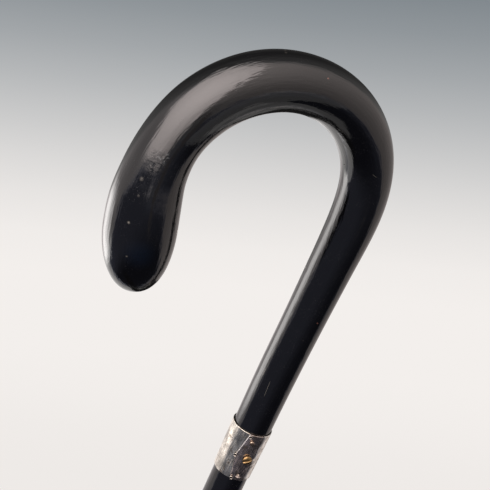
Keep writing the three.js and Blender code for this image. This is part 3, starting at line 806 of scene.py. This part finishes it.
metals = {
    "aged_brass": {"clean": (0.24, 0.158, 0.072, 1), "dull": (0.035, 0.022, 0.012, 1),
                   "roughness": (0.18, 0.4), "scale": 900},
    "copper_pin": {"clean": (0.36, 0.27, 0.2, 1), "dull": (0.2, 0.15, 0.12, 1),
                   "roughness": (0.2, 0.4), "scale": 1500},
    "ferrule_brass": {"clean": (0.66, 0.46, 0.2, 1), "dull": (0.38, 0.25, 0.11, 1),
                      "roughness": (0.18, 0.42), "scale": 260},
    "worn_iron": {"clean": (0.3, 0.29, 0.28, 1), "dull": (0.1, 0.075, 0.06, 1),
                  "roughness": (0.32, 0.65), "scale": 500},
    "dowel_steel": {"clean": (0.55, 0.55, 0.54, 1), "dull": (0.35, 0.34, 0.33, 1),
                    "roughness": (0.22, 0.4), "scale": 400},
    "cupped_silver": {"clean": (0.5, 0.47, 0.42, 1), "dull": (0.08, 0.07, 0.06, 1),
                      "roughness": (0.16, 0.4), "scale": 1500},
}
# How all of them wear, and the darker colour in a brad's cup (radii in mm) and the stud's slot
# (shares of its width)
wear = {
    "dulled": (0.42, 0.62), "finer": 6, "blotchDetail": 4.0, "fineDetail": 2.0,
    "strength": 0.25, "bump": 0.00008,
    "heights": {"blotches": 0.7, "fine": 0.3}, "rougher": {"dull": 0.6, "fine": 0.4},
    "cup": (0.7, 0.5), "cupDull": 0.5, "slot": (0.9, 0.5), "slotDull": 0.3, "slotDark": 0.9,
}


# Worn metal: its colour wanders between clean and tarnished in blotches, and finer ones make it uneven
def wornMetal(name):
    finish = metals[name]
    material, r = newMaterial(name)
    place = r.node("ShaderNodeTexCoord", output="Object")
    layers = {"blotches": r.noise(place, finish["scale"], wear["blotchDetail"]),
              "fine": r.noise(place, finish["scale"] * wear["finer"], wear["fineDetail"])}
    dull = layers["blotches"].step(*wear["dulled"])
    if name == "cupped_silver":
        outer, inner = (radius * mm for radius in wear["cup"])
        # a brad's cup is coloured darker towards its middle
        cupDark = r.length(r.vector("MULTIPLY", r.straight(), (1, 1, 0))).step(outer, inner)
        dull = (dull * wear["cupDull"]).most(cupDark)
    if name == "aged_brass":
        turn = math.radians(pins["collar_stud"]["slot"])
        outer, inner = ((share * pins["collar_stud"]["slotWidth"] * mm) ** 2 for share in wear["slot"])
        aside = r.dot(r.straight(), (-math.sin(turn), math.cos(turn), 0))
        # the stud's slot is coloured darker
        dull = (dull * wear["slotDull"]).most((aside * aside).step(outer, inner) * wear["slotDark"])
    layers["dull"] = dull
    low, high = finish["roughness"]
    r.surface("ShaderNodeBsdfPrincipled", {
        "Base Color": r.mix(dull, finish["clean"], finish["dull"]), "Metallic": 1.0,
        "Roughness": low + (high - low) * weighed(wear["rougher"], layers),
        "Normal": r.bump(weighed(wear["heights"], layers), wear["strength"], wear["bump"])})
    return material


# The collar's silver: clean and creamy on its left side, with a paler band on its right side that is a
# painted sheen, tarnished grey in front of and behind the leaf, mottled in blotches, with soft streaks along
# the shaft, hammer marks and slanting scratches
silverFinish = {
    # the paler tone of the band on the collar's right side is a painted sheen
    "clean": (0.6, 0.565, 0.505, 1), "rightSheen": (0.84, 0.8, 0.74, 1), "grey": (0.45, 0.43, 0.37, 1),
    "violet": (0.47, 0.4, 0.36, 1), "stain": (0.22, 0.18, 0.14, 1), "edgeDark": (0.27, 0.255, 0.26, 1),
    # arcs round the collar in mm between which each colour comes up and goes again
    "greyUp": (-20, 30), "cleanUp": (20, 30), "cleanGone": (35.2, 34.5),
    "rightSheenUp": (-13.4, -12.2), "rightSheenGone": (2, -1),
    # noises: (scale, detail, share of that scale along the shaft, slant in degrees)
    "noises": {"blotches": (480, 5.0, 1, 0), "patches": (300, 3.0, 0.5, 0), "streaks": (1500, 3.0, 0.16, 0),
               "scratches": (2600, 2.0, 0.1, 38)},
    # the darkest shade of patches and streaks, and how much brighter they get
    "shadeBetween": (0.3, 0.7), "patchShade": (0.62, 0.76), "streakShade": (0.78, 0.44),
    "stained": (0.56, 0.66), "stainStrength": 0.8, "scratched": (0.55, 0.7), "scuffed": (0.5, 0.7),
    "heights": {"patches": 0.5, "blotches": 0.35, "streaks": 0.08, "scratches": 0.05}, "bump": 0.00019,
    "roughness": 0.14, "rougher": {"blotches": 0.2, "scuffs": 0.12},
}


def silver():
    material, r = newMaterial("worn_silver")
    finish, place = silverFinish, r.straight()
    around = r.dot(place, (1 / mm, 0, 0))
    layers = {}
    for name, (scale, detail, stretch, slant) in finish["noises"].items():
        drawn = r.node("ShaderNodeMapping", {}, {
            "Vector": place, "Rotation": (0, math.radians(slant), 0), "Scale": (1, 1, stretch)})
        layers[name] = r.noise(drawn, scale, detail)
    layers["scuffs"] = layers["scratches"].step(*finish["scuffed"])
    layers["scratches"] = layers["scratches"].step(*finish["scratched"])
    clean = around.step(*finish["cleanUp"]) * around.step(*finish["cleanGone"])
    # a painted sheen: the paler band round the collar's right side
    rightSheen = around.step(*finish["rightSheenUp"]) * around.step(*finish["rightSheenGone"])
    color = r.mix(around.step(*finish["greyUp"]), finish["violet"], finish["grey"])
    color = r.mix(rightSheen, r.mix(clean, color, finish["clean"]), finish["rightSheen"])
    shade = 1.0
    for name, (darkest, gain) in (("patches", finish["patchShade"]), ("streaks", finish["streakShade"])):
        shade = (darkest + gain * layers[name].step(*finish["shadeBetween"])) * shade
    color = r.node("ShaderNodeVectorMath", {"operation": "SCALE"}, {0: color, "Scale": shade})
    stain = layers["blotches"].step(*finish["stained"]) * finish["stainStrength"]
    color = r.mix(stain, color, finish["stain"])
    # the darker colour along the leaf's edge
    edgeDark = r.node("ShaderNodeAttribute", {"attribute_name": "edgeDark"}, output="Fac")
    r.surface("ShaderNodeBsdfPrincipled", {
        "Base Color": r.mix(edgeDark, color, finish["edgeDark"]), "Metallic": 1.0,
        "Roughness": weighed(finish["rougher"], layers, finish["roughness"]),
        "Normal": r.bump(weighed(finish["heights"], layers), 1.0, finish["bump"])})
    return material


black = lacquer()
finishes = {name: wornMetal(name) for name in metals}
print("finishes mixed")
settle(buildCrook(), "crook_handle", black)
settle(buildShaft(), "shaft", black)
settle(buildCollar(), "collar", silver())
settle(buildShell(), "ferrule_shell", finishes["ferrule_brass"])
settle(buildTip(), "ferrule_tip", finishes["worn_iron"])
for node, place in pins.items():        # heads stand just off the cone at their upper edge
    if node.startswith("ferrule"):
        pin, finish, slot = {**nail, **place}, "ferrule_brass", "ferrule_brass"
        height = ferruleFoot + ferrule["length"] * pin["share"]
        radius = shellRadius(height + pin["head"]) + heads["seat"]
    else:
        pin = {**(brad if "brad" in node else {}), **place}
        finish = {"collar_stud": "aged_brass", "collar_pin": "copper_pin"}.get(node, "cupped_silver")
        slot = "collar_silver" if "brad" in node else "pin_brass"
        height = -pin["share"] * joint["collarLength"]
        radius = coneRadius(-height - pin["head"]) + collar["lapThickness"] + heads["seat"]
    settle(buildPin(node, pin, radius, height), node, finishes[finish])
dowel = bpy.data.objects["joint_dowel"]
dowel.data.materials.clear()
dowel.data.materials.append(finishes["dowel_steel"])


# A round pale floor a little below the tip, whose edge fades into the backdrop (m)
floor = {"radius": 0.8, "solid": 0.35, "gone": 0.784, "drop": 0.0002, "sides": 96, "rings": 8,
         "roughness": 0.9, "tone": (0.345, 0.362, 0.36, 1)}


# The floor is a flat disc: triangles round its middle, then rings of quads
def buildFloor():
    sides, rings = floor["sides"], floor["rings"]
    angle = np.linspace(0, 2 * np.pi, sides, endpoint=False)
    radius = np.linspace(0, floor["radius"], rings + 1)[1:, None]
    places = polar(radius, angle, -floor["drop"]).reshape(-1, 3)
    places = np.concatenate([[[0, 0, -floor["drop"]]], places])
    ring = 1 + np.arange(rings * sides).reshape(rings, sides)
    after = np.roll(ring, -1, 1)
    quads = np.stack([ring[:-1], ring[1:], after[1:], after[:-1]], -1).reshape(-1, 4)
    faces = [(0, a, b) for a, b in zip(ring[0].tolist(), after[0].tolist())] + quads.tolist()
    mesh = bpy.data.meshes.new("floor")
    mesh.from_pydata(places.tolist(), [], faces)
    piece = stand("floor", mesh)
    material, r = newMaterial("pale_floor")
    away = r.length(r.node("ShaderNodeTexCoord", output="Object"))
    r.surface("ShaderNodeBsdfPrincipled", {
        "Base Color": floor["tone"], "Roughness": floor["roughness"],
        "Alpha": away.step(floor["gone"], floor["solid"])})
    mesh.materials.append(material)
    piece.visible_glossy = False


buildFloor()
print("floor laid")

# Lamps near the stick, out of the camera's sight: a strip light behind it on the left, brightest along its
# middle, and three pale ones in front of the crook's gap and inside it, for the underside of the arch and its
# inner rim. Places are in mm from the collar's top, and a lamp's own ones are along it and across it from its
# middle. A lamp with groups of lines is lit on the left of at least one line of each group.
lamps = {
    "strip_light": {
        "middle": (-209.5, 173.9, -52.1), "facing": (-0.634, 0.62, -0.463), "along": (-0.7, -0.715, 0.0),
        "half": (118, 108), "level": 3.5, "tone": pale, "round": 1.25,
        "bottom": (-104, -58), "top": (98, 40)},
    "pale_light": {
        "middle": (-43.3, -55.1, 138.7), "facing": (0.504, -0.313, -0.805), "along": (0.716, -0.369, 0.592),
        "half": (34, 24), "level": 0.25, "tone": warm},
    "gap_light": {
        "middle": (-34.3, -17.0, 129.6), "facing": (0.504, -0.313, -0.805), "along": (0.716, -0.369, 0.592),
        "half": (18, 25), "level": 0.3, "tone": warm,
        "lines": [[((-18, -25), (5, -7.8)), ((4, -7.8), (12, -7.8))], [((12, -7.8), (16.5, -0.5))],
                  [((16, 2), (10, 2.8)), ((10, 3), (7, 14))]]},
    "rim_light": {
        "middle": (-20.7, -1.0, 128.1), "facing": (-0.235, 0.301, -0.924), "along": (0.969, 0.0, -0.247),
        "half": (8, 10), "level": 1.05, "tone": warm,
        "lines": [[((-4, 0), (5, -2))], [((5, -2), (5, 3))], [((5, 3), (-0.5, 8.5))],
                  [((-0.5, 8.5), (-3, 6.5))], [((-3, 6.5), (-4, 0))]]},
}
lampEdge = 0.7      # mm on each side of a line over which a lamp fades
fullEnergy = 4      # watts for each square metre at which a lamp's level is the brightness of its face


# A round lamp's level: a parabola along it to a power, times a smooth step towards each of its other sides
def buildLamp(name, lamp):
    facing = Vector(lamp["facing"]).normalized()
    along = Vector(lamp["along"])
    along = (along - facing * along.dot(facing)).normalized()
    across = facing.cross(along)
    middle = Vector(lamp["middle"]) * mm + Vector((0, 0, collarTop))
    data = bpy.data.lights.new(name, "AREA")
    data.shape = "RECTANGLE"
    data.size, data.size_y = lamp["half"][0] * 2 * mm, lamp["half"][1] * 2 * mm
    data.energy = fullEnergy * data.size * data.size_y
    data.use_nodes = True
    r = Recipe(data.node_tree)
    place = r.node("ShaderNodeNewGeometry", output="Position")
    s = r.dot(place, along / mm) - middle.dot(along) / mm
    t = r.dot(place, across / mm) - middle.dot(across) / mm
    level = lamp["level"]
    if "round" in lamp:
        part = s * (1 / lamp["half"][0])
        level = (1 - part * part).most(0) ** lamp["round"] * level
        level = level * t.step(*lamp["bottom"]) * t.step(*lamp["top"])
    for lines in lamp.get("lines", []):
        lit = 0.0
        for line in lines:
            lit = leftOf(*line, s, t).step(-lampEdge, lampEdge).most(lit)
        level = lit * level
    r.surface("ShaderNodeEmission", {"Color": lamp["tone"], "Strength": level}, "ShaderNodeOutputLight")
    piece = stand(name, data)
    piece.matrix_world = Matrix.Translation(middle) @ Matrix((along, across, facing)).transposed().to_4x4()
    piece.visible_camera = piece.visible_diffuse = False


for name, lamp in lamps.items():
    buildLamp(name, lamp)
print("lamps placed")
